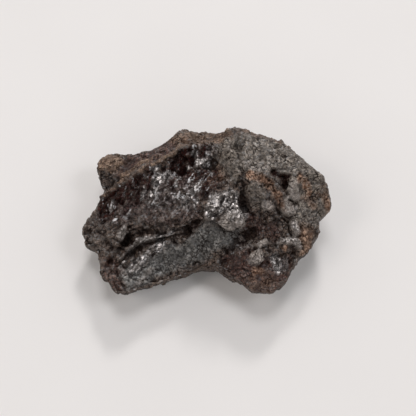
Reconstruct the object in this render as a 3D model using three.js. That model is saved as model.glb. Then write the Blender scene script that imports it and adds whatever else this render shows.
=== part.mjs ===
// A hand-sized iron-rich meteorite, built as the single broken stone that it is.
//
// Frame: millimetres, +Z up. The origin is on the table under the middle of the stone, +X runs along the
// stone towards its domed end, and +Y runs from its show side to its back.
//
// The stone is a sphere pulled into shape in three steps. Its girdle, the widest line round it, is an
// outline drawn in plan. Above the girdle, a few lobes bounded by planar fracture faces make the upper
// surface, with creases and pits pressed into it. Below, the underside is a shallow bowl that ends in
// small flats where the stone rests.

import * as THREE from "three";
import { ImprovedNoise } from "three/addons/math/ImprovedNoise.js";
import { mergeVertices } from "three/addons/utils/BufferGeometryUtils.js";

// ---------------------------------------------------------------- driving dimensions

const MESH_DETAIL = 24; // cuts in each edge of the icosahedron that the sphere starts from
const GIRDLE_ANGLE = 112; // degrees from the sphere's top to the girdle: the upper side gets most faces
const HEIGHT_DATUM = 0; // the table
const UPPER_SQUARENESS = 5; // superellipse power: how squarely the upper surface turns into the girdle
const LOWER_SQUARENESS = 2.6; // the same for the underside
const OUTLINE_KEEP = 6; // power of the radius share with which coarse weathering fades near the girdle
const LEAST_CROWN = 0.8; // the upper surface stays this far above the girdle, inside it
const FACE_BLEND = 0.5; // how far the edge between two faces of a lobe is worn round
const LOBE_BLEND = 0.4; // how far the valley between two lobes is filled in
const RELAX = { passes: 1, share: 0.5 }; // how often, and how far, each point moves towards its neighbours

const STONE_COLOUR = 0x4a403c;
const STONE_ROUGHNESS = 0.5;
const STONE_METALNESS = 0.35;

// The girdle: [x, y, height above the table], anticlockwise in plan from the domed end.
const GIRDLE = [
  [35.0, 2.5, 9.5], [34.3, 6.6, 10], [32.2, 9.0, 10], [29.5, 11.6, 10], [26.2, 14.5, 10.5],
  [23.1, 17.0, 11], [20.2, 19.1, 11], [17.8, 20.9, 11.5], [14.4, 22.4, 12], [11.2, 23.6, 12],
  [8.4, 24.7, 12], [6.2, 24.3, 12], [4.0, 23.6, 12], [1.3, 23.9, 12], [-1.2, 25.1, 12],
  [-4.0, 25.8, 12], [-6.8, 26.1, 12], [-8.8, 24.5, 12], [-11.4, 22.3, 12], [-15.1, 20.2, 11.5],
  [-19.2, 19.1, 11], [-22.9, 18.2, 10.5], [-25.4, 19.2, 10], [-27.9, 19.3, 10], [-30.3, 17.7, 9.5],
  [-31.6, 15.2, 9], [-32.2, 13.2, 9], [-31.0, 10.4, 9], [-29.8, 7.0, 9], [-30.2, 4.2, 9],
  [-32.1, 1.6, 9], [-33.4, -1.5, 9], [-34.9, -3.7, 9], [-35.1, -6.9, 9], [-34.5, -9.5, 8.5],
  [-31.4, -11.0, 8.5], [-29.6, -14.6, 8.5], [-29.4, -18.7, 9], [-27.0, -19.6, 9.5], [-26.2, -22.6, 10],
  [-23.7, -24.1, 10], [-20.5, -23.3, 9.5], [-16.8, -21.7, 9], [-13.3, -20.5, 8.5], [-8.4, -18.9, 7.5],
  [-3.2, -16.6, 6.5], [-0.4, -15.8, 6], [3.0, -16.4, 6.5], [5.9, -18.6, 7], [9.3, -20.2, 8],
  [12.4, -23.3, 9], [17.4, -23.3, 9], [20.0, -22.2, 9], [22.4, -19.4, 9], [24.8, -16.2, 9],
  [25.9, -13.6, 9], [29.1, -11.9, 9], [30.4, -8.6, 9], [32.3, -5.8, 9], [31.7, -3.0, 9],
  [32.4, -1.5, 9], [35.3, -0.7, 9.5],
];

// A planar fracture face: it passes through a point and dips towards a compass direction in plan, which is
// 0 degrees along +X and 90 along +Y, by an angle below the horizontal.
const face = (through, towards, dip) => ({ through, towards, dip });

// The lobes. Each is what lies under all its faces, and the stone's upper surface is the highest lobe.
const LOBES = {
  westRidge: [
    face([-10, 2, 17.5], 225, 13), // the glossy face, which slopes gently to the show side
    face([-0.4, -5.7, 16.2], 282, 46), // the smooth grey face below it
    face([-17.5, 13, 16.3], 120, 35), // the matt back of the ridge
    face([-26, 0, 13.5], 175, 28), // the left end
    face([-22, -10, 12.4], 235, 18), // the stepped lower left corner
  ],
  dome: [
    face([12, 9, 24.3], 285, 18), // its front slope
    face([15.5, 9.5, 23], 48, 42), // its back right shoulder
    face([24, 3, 18.5], -10, 30), // its right end
    face([10, 15.5, 21.5], 95, 50), // its back
    face([18, -4, 16.5], 290, 25), // the slope that runs down to the show side
    face([5, 12, 22], 190, 48), // the wall above the hollow
  ],
  centreBoss: [
    face([5.5, -1, 20], 250, 6),
    face([9, -1, 20], 5, 55),
    face([6, -5.6, 18.5], 275, 55),
    face([-0.5, -1, 18.5], 170, 45),
    face([4, 6, 20.5], 85, 40),
  ],
  rightShelf: [
    face([25, -4, 14.6], 330, 12),
    face([21.5, -5, 14.4], 200, 30),
    face([26, -9, 13], 290, 28),
    face([27, 1, 15], 70, 25),
  ],
  southBlock: [
    face([14.5, -15, 13.2], 300, 14),
    face([8.5, -15, 11.8], 150, 38),
    face([14, -10.5, 14.2], 95, 30),
  ],
  westKnob: [
    face([-27, 14.5, 12.6], 110, 20),
    face([-23.5, 13.5, 12.8], 10, 40),
    face([-27, 9, 11.5], 260, 35),
  ],
};

// A line pressed into the surface, or raised where the depth is negative, that reaches a width to each
// side of its path.
const mark = (depth, width, ...path) => ({ depth, width, path });

const MARKS = {
  ridgeCrest: mark(-1.6, 1.5, [-30, 4.5], [-24.8, 6.6], [-19.9, 9.9], [-10.7, 13.4], [-6.8, 15.3]),
  hollowRim: mark(-1.7, 1.4, [-6.8, 15.3], [-1.8, 16.9], [3.7, 17.4], [7.4, 17.2], [6.2, 14.0], [4.0, 9.6]),
  hollow: mark(2.8, 4.0, [-6.9, 11.2], [-2.2, 11.8], [1.2, 10.6]),
  backSaddle: mark(1.6, 2.4, [-8, 18.5], [-1.5, 20.6], [5, 20.2]),
  knobGroove: mark(1.9, 1.8, [-23.5, 17.5], [-22.6, 12.5], [-25.5, 8.8], [-29.5, 8]),
  bossCrease: mark(1.5, 1.1, [9.2, 4.2], [9.3, 2.2], [9.5, -0.2], [10.4, -3.2], [11.4, -5.4]),
  darkValley: mark(1.2, 2.2, [12.5, -5.8], [16, -6.5], [19, -6.7]),
  greyFaceValley: mark(2.3, 1.9, [12, -7], [9.5, -9.6], [6.5, -12], [4.6, -14.4]),
  upperParting: mark(0.9, 1.0, [-22.5, -8.6], [-18.7, -7.0], [-12.7, -7.3], [-6.7, -7.6], [-2.2, -6]),
  lowerParting: mark(1.0, 1.0, [-20.5, -13.2], [-18.4, -11.9], [-14, -10.9], [-7.2, -9.7], [-4, -8.3]),
  cornerParting: mark(0.8, 1.0, [-27, -15], [-24.3, -11.7], [-21, -9]),
  domeLedge: mark(-1.3, 1.8, [11.5, 3.5], [15, -0.3], [20.5, 0.6], [25, 4.5]),
};

// A round pit, or a knob where the depth is negative, at a point of the plan.
const pit = (at, depth, across) => ({ at, depth, across });

const PITS = {
  dark: pit([20.3, 4.7], 1.1, 3.0),
  small: pit([16.3, 4.0], 0.7, 1.8),
  glittering: pit([20.3, -14.6], 1.2, 4.4),
  brightKnob: pit([14.3, -13], -1.6, 4.6),
};

// The underside: a wavy bowl that clears the table except where its feet press down on it.
const UNDERSIDE = { clearance: 1.3, waveLength: 15, waveHeight: 1.5 };
const FEET = {
  front: pit([-14, -8], 4.2, 12),
  right: pit([15, -7], 4.2, 12),
  back: pit([1, 12.5], 3.4, 11),
};

// Weathering: vector noise in octaves. The coarse ones leave the drawn outline alone.
const WEATHERING = [
  { length: 13, amplitude: 1.1, fades: true },
  { length: 6, amplitude: 0.75, fades: true },
  { length: 2.9, amplitude: 0.4, fades: false },
];

// ---------------------------------------------------------------- shape functions

const radians = THREE.MathUtils.degToRad;
const noise = new ImprovedNoise();

// The lower, or with a negative blend the higher, of two values, with the corner between them rounded.
function blended(a, b, blend) {
  const gap = Math.max(Math.abs(blend) - Math.abs(a - b), 0) / Math.abs(blend);
  const rounding = (gap * gap * blend) / 4;
  return (blend > 0 ? Math.min(a, b) : Math.max(a, b)) - rounding;
}

function faceHeight({ through, towards, dip }, x, y) {
  const along = (x - through[0]) * Math.cos(radians(towards)) + (y - through[1]) * Math.sin(radians(towards));
  return through[2] - along * Math.tan(radians(dip));
}

function lobeHeight(faces, x, y) {
  return faces.map((f) => faceHeight(f, x, y)).reduce((a, b) => blended(a, b, FACE_BLEND));
}

function distanceToPath(path, x, y) {
  let nearest = Infinity;
  for (let i = 0; i + 1 < path.length; i++) {
    const [ax, ay] = path[i];
    const [bx, by] = path[i + 1];
    const share = ((x - ax) * (bx - ax) + (y - ay) * (by - ay)) / ((bx - ax) ** 2 + (by - ay) ** 2);
    const t = THREE.MathUtils.clamp(share, 0, 1);
    nearest = Math.min(nearest, Math.hypot(x - ax - t * (bx - ax), y - ay - t * (by - ay)));
  }
  return nearest;
}

const bell = (distance, width) => Math.exp(-((distance / width) ** 2));

// Height of the upper surface over a point of the plan, before it is turned down to the girdle.
function upperHeight(x, y) {
  let z = Object.values(LOBES)
    .map((faces) => lobeHeight(faces, x, y))
    .reduce((a, b) => blended(a, b, -LOBE_BLEND));
  for (const { depth, width, path } of Object.values(MARKS)) {
    z -= depth * bell(distanceToPath(path, x, y), width);
  }
  return z - pressedBy(PITS, x, y);
}

// How far a set of pits presses the surface down over a point of the plan.
function pressedBy(pits, x, y) {
  return Object.values(pits)
    .map(({ at, depth, across }) => depth * bell(Math.hypot(x - at[0], y - at[1]), across / 2))
    .reduce((a, b) => a + b);
}

function undersideHeight(x, y) {
  const { clearance, waveLength, waveHeight } = UNDERSIDE;
  const wave = waveHeight * noise.noise(x / waveLength, y / waveLength, 0.5);
  return HEIGHT_DATUM + clearance + wave - pressedBy(FEET, x, y);
}

// The girdle's point at a bearing, as { reach, height }. The outline is star-shaped about the axis.
const girdleSamples = new THREE.CatmullRomCurve3(
  GIRDLE.map((p) => new THREE.Vector3(...p)), true, "centripetal",
).getPoints(GIRDLE.length * 8);

function girdleAt(bearing) {
  const side = new THREE.Vector2(-Math.sin(bearing), Math.cos(bearing));
  const ahead = new THREE.Vector2(Math.cos(bearing), Math.sin(bearing));
  for (let i = 0; i + 1 < girdleSamples.length; i++) {
    const a = girdleSamples[i];
    const b = girdleSamples[i + 1];
    const offA = a.x * side.x + a.y * side.y;
    const offB = b.x * side.x + b.y * side.y;
    if (offA > 0 || offB <= 0) continue;
    const t = offA / (offA - offB);
    const reach = THREE.MathUtils.lerp(a.x, b.x, t) * ahead.x + THREE.MathUtils.lerp(a.y, b.y, t) * ahead.y;
    if (reach > 0) return { reach, height: THREE.MathUtils.lerp(a.z, b.z, t) };
  }
  throw new Error("the girdle isn't closed round the axis");
}

// How far a superellipse has risen at a share of its radius.
const risen = (share, power) => (1 - Math.min(share, 1) ** power) ** (1 / power);

function weathered(point, share) {
  const moved = point.clone();
  for (const { length, amplitude, fades } of WEATHERING) {
    const p = point.clone().divideScalar(length);
    const sideways = amplitude * (fades ? 1 - share ** OUTLINE_KEEP : 1);
    moved.x += sideways * noise.noise(p.x, p.y, p.z + 7.3);
    moved.y += sideways * noise.noise(p.x + 31.7, p.y, p.z);
    moved.z += amplitude * noise.noise(p.x, p.y + 53.1, p.z);
  }
  return moved;
}

// Where a point of the unit sphere goes on the stone.
function onStone(direction) {
  const fromTop = THREE.MathUtils.radToDeg(Math.acos(THREE.MathUtils.clamp(direction.z, -1, 1)));
  const above = fromTop <= GIRDLE_ANGLE;
  const turn = above ? fromTop / GIRDLE_ANGLE : (180 - fromTop) / (180 - GIRDLE_ANGLE);
  const share = (turn + Math.sin(radians(90 * turn))) / 2;
  const bearing = Math.atan2(direction.y, direction.x);
  const { reach, height } = girdleAt(bearing);
  const x = share * reach * Math.cos(bearing);
  const y = share * reach * Math.sin(bearing);
  let z;
  if (above) {
    const crown = Math.max(upperHeight(x, y) - height, LEAST_CROWN);
    z = height + crown * risen(share, UPPER_SQUARENESS);
  } else {
    z = height + (undersideHeight(x, y) - height) * risen(share, LOWER_SQUARENESS);
  }
  const point = weathered(new THREE.Vector3(x, y, z), share);
  point.z = Math.max(point.z, HEIGHT_DATUM);
  return point;
}

// Points moved part of the way to the middle of their neighbours, which takes the saw teeth off steep steps.
function relaxed(points, triangles) {
  const sums = points.map(() => new THREE.Vector3());
  const counts = points.map(() => 0);
  for (const triangle of triangles) {
    for (const [i, corner] of triangle.entries()) {
      sums[corner].add(points[triangle[(i + 1) % 3]]).add(points[triangle[(i + 2) % 3]]);
      counts[corner] += 2;
    }
  }
  return points.map((point, i) => point.clone().lerp(sums[i].divideScalar(counts[i]), RELAX.share));
}

// ---------------------------------------------------------------- the stone

function stoneGeometry() {
  const sphere = new THREE.IcosahedronGeometry(1, MESH_DETAIL);
  sphere.deleteAttribute("normal");
  sphere.deleteAttribute("uv");
  const geometry = mergeVertices(sphere, 1e-5);
  const position = geometry.getAttribute("position");
  const corners = Array.from(geometry.index.array);
  const triangles = corners.filter((_, i) => i % 3 === 0).map((_, i) => corners.slice(3 * i, 3 * i + 3));
  let points = Array.from({ length: position.count }, (_, i) =>
    onStone(new THREE.Vector3().fromBufferAttribute(position, i)));
  for (let pass = 0; pass < RELAX.passes; pass++) points = relaxed(points, triangles);

  const box = new THREE.Box3().setFromPoints(points);
  const middle = box.getCenter(new THREE.Vector3());
  points.forEach(({ x, y, z }, i) => {
    position.setXYZ(i, x - middle.x, y - middle.y, z - box.min.z + HEIGHT_DATUM);
  });
  geometry.computeVertexNormals();
  return geometry;
}

const stone = new THREE.Mesh(
  stoneGeometry(),
  new THREE.MeshStandardMaterial({
    color: STONE_COLOUR, roughness: STONE_ROUGHNESS, metalness: STONE_METALNESS, flatShading: true,
  }),
);
stone.name = "meteorite";

const meteorite = new THREE.Group();
meteorite.add(stone);

export default meteorite;
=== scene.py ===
"""An iron-rich meteorite on a pale table: a weathered, broken stone with glossy, hackly and rusty faces."""

import logging
import math
from collections.abc import Callable
from dataclasses import dataclass, field
from enum import Enum
from functools import partial

import bmesh
import bpy
import numpy as np
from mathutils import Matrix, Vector, noise

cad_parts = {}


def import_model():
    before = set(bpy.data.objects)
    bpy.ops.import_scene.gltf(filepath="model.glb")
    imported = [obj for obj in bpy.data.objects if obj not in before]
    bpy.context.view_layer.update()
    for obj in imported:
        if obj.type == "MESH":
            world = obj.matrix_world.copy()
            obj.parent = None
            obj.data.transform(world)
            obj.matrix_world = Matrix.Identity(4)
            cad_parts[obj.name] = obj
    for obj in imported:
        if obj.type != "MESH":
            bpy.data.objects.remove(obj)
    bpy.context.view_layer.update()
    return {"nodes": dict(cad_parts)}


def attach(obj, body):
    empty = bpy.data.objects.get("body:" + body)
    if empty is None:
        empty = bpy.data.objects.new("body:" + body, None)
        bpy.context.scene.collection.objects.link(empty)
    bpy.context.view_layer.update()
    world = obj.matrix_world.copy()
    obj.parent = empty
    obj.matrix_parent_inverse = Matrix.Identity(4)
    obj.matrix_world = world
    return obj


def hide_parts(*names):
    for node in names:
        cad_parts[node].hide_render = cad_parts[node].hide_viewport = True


MM = 0.001  # metres in a millimetre
NODE = "meteorite"
BODY = "root"

Colour = tuple[float, float, float, float]
PlanPoint = tuple[float, float]
PlanPath = tuple[PlanPoint, ...]
Socket = bpy.types.NodeSocket
Add = Callable[..., bpy.types.Node]

log = logging.getLogger("meteorite")


def linear(hex_colour: str) -> Colour:
    """Turns an sRGB hex colour into linear RGBA.

    Args:
        hex_colour: six hex digits.

    Returns:
        The colour as linear red, green, blue and a full alpha.
    """
    shares = [int(hex_colour[i : i + 2], 16) / 255 for i in (0, 2, 4)]
    toe = [c / 12.92 if c <= 0.04045 else ((c + 0.055) / 1.055) ** 2.4 for c in shares]
    return (toe[0], toe[1], toe[2], 1.0)


def smooth_step(low: float, high: float, x: np.ndarray) -> np.ndarray:
    """Rises smoothly from 0 at low to 1 at high.

    Args:
        low: where the rise starts.
        high: where it ends; it may be below low, which turns the step round.
        x: the values to map.

    Returns:
        The step's value for each x.
    """
    t = np.clip((x - low) / (high - low), 0.0, 1.0)
    return t * t * (3.0 - 2.0 * t)


def path_distance(points: np.ndarray, path: PlanPath) -> np.ndarray:
    """Distance in plan from each point to a polyline.

    Args:
        points: an array of positions, of which x and y are used.
        path: the polyline's corners in plan.

    Returns:
        The distance from each point to the nearest part of the path.
    """
    nearest = np.full(len(points), np.inf)
    flat = points[:, :2]
    corners = [np.array(p, float) for p in path]
    if len(corners) == 1:
        return np.linalg.norm(flat - corners[0], axis=1)
    for a, b in zip(corners, corners[1:]):
        along = b - a
        t = np.clip(((flat - a) @ along) / (along @ along), 0.0, 1.0)
        nearest = np.minimum(nearest, np.linalg.norm(flat - a - t[:, None] * along, axis=1))
    return nearest


# ---------------------------------------------------------------- what is pressed into the stone


@dataclass(frozen=True)
class Stroke:
    """A line worked into the upper surface: a crack, groove, pit, ridge or lump, in plan millimetres."""

    name: str
    path: PlanPath
    depth: float
    width: float
    sharpness: float = 2.0
    wander: float = 0.3

    def lift(self, points: np.ndarray, wobble: np.ndarray) -> np.ndarray:
        """How far the stroke raises the surface at each point.

        Args:
            points: positions in millimetres.
            wobble: a signed noise for each point, which makes the line's edge wander.

        Returns:
            The lift at each point, negative where the stroke presses in.
        """
        reach = np.maximum(path_distance(points, self.path) + self.wander * wobble, 0.0)
        return -self.depth * np.exp(-((reach / self.width) ** self.sharpness))


@dataclass(frozen=True)
class Ledge:
    """A step along a line: the side to the left of the path stands over the side to its right."""

    name: str
    path: PlanPath
    rise: float
    fade: float
    edge: float = 0.25
    wander: float = 0.35

    def lift(self, points: np.ndarray, wobble: np.ndarray) -> np.ndarray:
        """How far the ledge raises the surface at each point.

        Args:
            points: positions in millimetres.
            wobble: a signed noise for each point, which makes the line wander.

        Returns:
            Half the rise at the line's left, minus half at its right, fading with distance.
        """
        nearest = np.full(len(points), np.inf)
        side = np.zeros(len(points))
        for start, end in zip(self.path, self.path[1:]):
            a, along = np.array(start), np.array(end) - np.array(start)
            offset = points[:, :2] - a
            t = np.clip((offset @ along) / (along @ along), 0.0, 1.0)
            distance = np.linalg.norm(offset - t[:, None] * along, axis=1)
            cross = (along[0] * offset[:, 1] - along[1] * offset[:, 0]) / np.linalg.norm(along)
            closer = distance < nearest
            nearest = np.where(closer, distance, nearest)
            side = np.where(closer, np.sign(cross) * distance, side)
        side = side + self.wander * wobble
        return 0.5 * self.rise * np.tanh(side / self.edge) * np.exp(-((nearest / self.fade) ** 2))


class Zone(Enum):
    """The kinds of surface on the stone. Each is stored on the mesh as an attribute of this name."""

    UMBER = "zone_umber"
    PLUM = "zone_plum"
    OLIVE = "zone_olive"
    SATIN = "zone_satin"
    MAROON = "zone_maroon"
    HACKLY = "zone_hackly"
    ASH = "zone_ash"
    RUST = "zone_rust"


@dataclass(frozen=True)
class Patch:
    """A patch of one kind of surface round a line in plan, in millimetres."""

    path: PlanPath
    reach: float
    edge: float = 1.2
    strength: float = 1.0

    def cover(self, points: np.ndarray, wobble: np.ndarray) -> np.ndarray:
        """How much of the patch each point has.

        Args:
            points: positions in millimetres.
            wobble: a signed noise for each point, which breaks the patch's edge.

        Returns:
            A share from 0 to the patch's strength.
        """
        distance = path_distance(points, self.path) + 1.6 * self.edge * wobble
        return self.strength * smooth_step(self.reach + self.edge, self.reach - self.edge, distance)


UPPER_PARTING = (
    (-22.6, -10.6), (-20.6, -8.6), (-17.5, -7.3), (-13.5, -8.2), (-9.5, -8.7), (-6.0, -7.9), (-2.8, -6.4),
)
LOWER_PARTING = (
    (-24.2, -15.6), (-22.4, -14.0), (-19.5, -12.3), (-16.5, -11.3),
    (-13.0, -10.8), (-8.5, -10.0), (-5.2, -8.6),
)
CORNER_PARTING = ((-27.2, -15.4), (-24.8, -12.4), (-21.8, -9.6))
CREST = ((-29.3, 3.2), (-25.5, 5.3), (-21.8, 6.3), (-17.5, 8.7), (-12.8, 10.7), (-10.2, 14.0), (-7.4, 16.0))
HOLLOW_RIM = ((2.9, 9.0), (5.0, 11.6), (8.4, 16.1))
BACK_RIM = ((-7.4, 16.0), (-2.0, 17.0), (3.7, 17.0), (8.4, 16.4))
BOSS_CREASE = ((9.2, 4.6), (9.4, 2.4), (9.3, 0.2), (9.8, -2.4), (10.8, -3.8), (12.6, -5.0))
VALLEY = ((11.0, -5.0), (14.0, -6.6), (17.4, -7.0), (19.6, -6.6))
BLOCK_EDGE = ((16.6, -8.0), (13.4, -8.8), (9.4, -10.9), (7.0, -13.8), (4.6, -16.4))
BLOCK_KNOB_RING = ((15.6, -16.6), (14.4, -17.6), (12.6, -17.2), (11.2, -15.6), (11.6, -13.8))
RUST_BAND = ((11.6, 5.4), (14.0, 4.6), (16.2, 3.2), (18.0, 1.2), (19.4, 0.2), (20.2, -1.6))
GLITTER_HOLLOW = ((19.4, -14.8), (21.0, -14.8), (21.4, -16.4), (20.2, -17.6))
DARK_PIT = ((18.6, 5.8), (20.2, 4.9), (22.3, 5.0), (20.9, 4.2), (21.3, 2.4))
FIRST_FACET = ((-20.4, -17.0), (-17.4, -14.6), (-15.0, -12.8), (-12.9, -11.6))
SECOND_FACET = ((-21.6, -18.6), (-19.2, -17.0), (-16.4, -15.2))
THIRD_FACET = ((-18.6, -21.4), (-17.0, -19.4), (-15.2, -17.4))
FIRST_STREAK = ((-25.5, 6.8), (-21.0, 9.8), (-16.5, 12.6))
SECOND_STREAK = ((-24.0, 9.8), (-19.0, 12.4), (-13.5, 14.8))
SMALL_PIT = ((16.0, 4.2), (16.8, 3.3))
MIDDLE_SHELF_LUMP = ((21.8, -2.0), (23.0, -3.2))
LOWER_SHELF_LUMP = ((23.8, -6.4), (24.9, -8.0))
EDGE_SHELF_LUMP = ((24.2, -10.8), (25.8, -11.8))
SHELF_GLINTS = ((20.6, -10.4), (22.4, -10.6))
BLOCK_KNOB = ((12.8, -15.8), (14.4, -14.6))
LEFT_LUMP = ((-23.9, -8.6), (-22.9, -7.4))
LEFT_LUMP_CRACK = ((-25.3, -8.0), (-24.8, -9.8), (-23.0, -10.2), (-21.5, -8.6))
UPPER_SHELF_CRACK = ((21.8, 3.6), (21.5, 1.2), (22.4, -0.6), (24.6, -0.9))
MIDDLE_SHELF_CRACK = ((20.3, -1.4), (20.6, -3.6), (22.4, -4.8), (24.4, -4.0))
LOWER_SHELF_CRACK = ((22.6, -5.4), (22.6, -8.4), (24.4, -9.6), (26.0, -8.8))

STROKES: tuple[Stroke, ...] = (
    Stroke("crest of the ridge", CREST, -0.7, 0.5, 2.0, 0.5),
    Stroke("line below the crest", tuple((x + 0.3, y - 1.2) for x, y in CREST[:5]), 0.25, 0.35, 2.0, 0.5),
    Stroke("line above the crest", tuple((x - 0.2, y + 1.4) for x, y in CREST[:5]), 0.5, 0.35, 2.0, 0.5),
    Stroke("first streak above it", FIRST_STREAK, -0.4, 0.3, 2.0, 0.5),
    Stroke("second streak above it", SECOND_STREAK, -0.4, 0.3, 2.0, 0.5),
    Stroke("second line above it", tuple((x - 0.6, y + 3.2) for x, y in CREST[:5]), 0.4, 0.35, 2.0, 0.6),
    Stroke("rim of the hollow", HOLLOW_RIM, -0.8, 0.8),
    Stroke("rim behind the hollow", BACK_RIM, -0.5, 0.7, 2.0, 0.5),
    Stroke("hollow", ((-7.4, 11.8), (-5.2, 12.2)), 0.7, 2.4, 3.0, 0.8),
    Stroke("plates in the hollow", ((-2.6, 10.5), (-0.6, 10.8)), -0.9, 1.2, 4.0, 0.6),
    Stroke("crescent below the hollow", ((-9.0, 9.8), (-6.8, 9.0), (-4.2, 8.6), (-2.2, 8.2)), 0.8, 0.4),
    Stroke("crack in the hollow", ((-4.8, 14.6), (-4.0, 12.4), (-4.4, 10.2)), 0.7, 0.4),
    Stroke("knob", ((-28.5, 13.8), (-26.5, 13.6)), -0.8, 2.8, 3.0),
    Stroke("lumps behind the hollow", ((-5.6, 20.4), (-1.5, 20.8)), -0.9, 1.8, 3.0, 0.7),
    Stroke("boss", ((2.5, -2.4), (7.0, -4.0)), -0.7, 3.2, 3.0, 0.7),
    Stroke("first fold of the boss", ((1.6, -6.0), (3.4, -3.6), (4.6, -0.6)), 0.6, 0.35, 2.0, 0.4),
    Stroke("second fold of the boss", ((4.0, -5.6), (5.6, -3.4), (8.0, -1.6)), 0.6, 0.35, 2.0, 0.4),
    Stroke("third fold of the boss", ((5.2, -2.6), (6.2, -0.8), (6.6, 1.4)), 0.5, 0.35, 2.0, 0.4),
    Stroke("lower lobe of the boss", ((5.8, -6.8), (8.4, -5.8)), -0.8, 1.9, 4.0, 0.4),
    Stroke("wall of the boss", ((7.7, 4.0), (8.1, 2.0), (8.3, -1.6), (7.9, -5.0)), -0.6, 0.8, 2.0, 0.5),
    Stroke("lump beside the crease", ((12.2, 1.6), (12.6, -0.6), (14.2, 0.6)), -0.7, 2.0, 3.0, 0.9),
    Stroke("small lump beside it", ((17.6, -2.8),), -0.7, 1.1, 3.0),
    Stroke("upper shelf lump", ((23.2, 2.8), (23.8, 1.0)), -1.1, 1.6, 4.0, 0.5),
    Stroke("middle shelf lump", MIDDLE_SHELF_LUMP, -1.1, 1.5, 4.0, 0.5),
    Stroke("lower shelf lump", LOWER_SHELF_LUMP, -1.0, 1.1, 4.0, 0.8),
    Stroke("edge shelf lump", EDGE_SHELF_LUMP, -0.9, 1.0, 4.0, 0.8),
    Stroke("shelf glints", SHELF_GLINTS, -0.7, 0.9, 3.0),
    Stroke("block knob", BLOCK_KNOB, -0.9, 1.7, 4.0, 0.5),
    Stroke("lump above the block", ((13.9, -11.6), (16.4, -10.6)), -0.8, 1.1, 4.0),
    Stroke("left lump", LEFT_LUMP, -1.1, 1.2, 5.0, 0.4),
    Stroke("crack round the left lump", LEFT_LUMP_CRACK, 0.8, 0.35),
    Stroke("slab", ((-19.0, -9.9), (-12.0, -9.4), (-8.0, -9.2)), -0.7, 0.8, 3.0, 0.6),
    Stroke("upper parting", UPPER_PARTING, 1.0, 0.4, 2.0, 0.6),
    Stroke("lower parting", LOWER_PARTING, 1.5, 0.5, 2.0, 0.5),
    Stroke("corner parting", CORNER_PARTING, 0.7, 0.4, 2.0, 0.6),
    Stroke("line under the first facet", tuple((x + 0.7, y - 1.1) for x, y in FIRST_FACET), 0.6, 0.3),
    Stroke("line under the second facet", tuple((x + 0.5, y - 1.2) for x, y in SECOND_FACET), 0.5, 0.3),
    Stroke("first corner groove", ((-27.1, -16.3), (-25.8, -19.3), (-24.2, -23.2)), 0.6, 0.4),
    Stroke("second corner groove", ((-25.4, -15.9), (-24.2, -19.0), (-22.3, -22.7)), 0.6, 0.4),
    Stroke("crease beside the boss", BOSS_CREASE, 0.6, 0.35, 2.0, 0.5),
    Stroke("valley", VALLEY, 0.4, 0.8, 2.0, 0.7),
    Stroke("first shelf crack", ((18.8, -2.3), (20.6, -4.4), (22.4, -6.4), (23.2, -9.3)), 0.7, 0.3),
    Stroke("second shelf crack", ((17.3, -4.2), (19.2, -5.2), (21.2, -6.6)), 0.6, 0.3),
    Stroke("edge crack", ((33.6, -1.1), (30.2, -3.3), (28.9, -6.3)), 0.5, 0.4),
    Stroke("ledge line behind the hollow", ((-0.7, 19.6), (3.2, 18.2), (7.4, 17.6), (9.8, 18.3)), 0.8, 0.35),
    Stroke("line on the dome", ((17.3, 11.7), (19.1, 9.5)), 0.6, 0.4),
    Stroke("dark pit", DARK_PIT, 1.5, 0.8, 3.0, 0.8),
    Stroke("small pit", SMALL_PIT, 1.4, 0.5, 3.0),
    Stroke("middle pin hole", ((18.2, 0.9),), 1.1, 0.4, 3.0),
    Stroke("side pin hole", ((21.1, 1.0),), 0.9, 0.4, 3.0),
    Stroke("lower pin hole", ((20.2, -2.2),), 0.9, 0.45, 3.0),
    Stroke("rim pin hole", ((19.1, 14.2),), 1.0, 0.5, 3.0),
    Stroke("crack under the upper shelf lump", UPPER_SHELF_CRACK, 0.7, 0.3),
    Stroke("crack under the middle shelf lump", MIDDLE_SHELF_CRACK, 0.7, 0.3),
    Stroke("crack under the small lump", ((14.8, -3.6), (17.4, -4.3), (19.2, -3.2)), 0.6, 0.3),
    Stroke("crack round the lower shelf lump", LOWER_SHELF_CRACK, 0.7, 0.3),
    Stroke("crack under the boss", ((1.6, -7.0), (4.4, -9.2), (8.0, -8.8), (10.0, -7.4)), 0.7, 0.35),
    Stroke("crack on the block", ((16.8, -9.4), (17.6, -12.6), (17.4, -16.4)), 0.6, 0.3),
    Stroke("glittering hollow", GLITTER_HOLLOW, 0.4, 1.4, 5.0, 0.4),
    Stroke("groove round the block knob", BLOCK_KNOB_RING, 0.6, 0.3),
)

LEDGES: tuple[Ledge, ...] = (
    Ledge("upper parting", UPPER_PARTING, 0.5, 1.5, 0.15),
    Ledge("lower parting", LOWER_PARTING, 0.6, 1.5, 0.15),
    Ledge("corner parting", CORNER_PARTING, 0.4, 1.4, 0.15),
    Ledge("first facet", FIRST_FACET, -0.5, 1.2, 0.15),
    Ledge("boss over its crease", tuple(reversed(BOSS_CREASE)), 0.6, 1.4),
    Ledge("block over the valley", BLOCK_EDGE, 0.45, 1.6),
    Ledge("boss over the grey face", ((-1.0, -6.4), (3.0, -7.4), (7.5, -9.2), (9.6, -8.4)), 0.9, 1.6),
    Ledge("dome over the dark pit", ((24.6, 5.6), (21.4, 6.2), (17.4, 6.6)), 0.6, 1.4),
)

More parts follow.
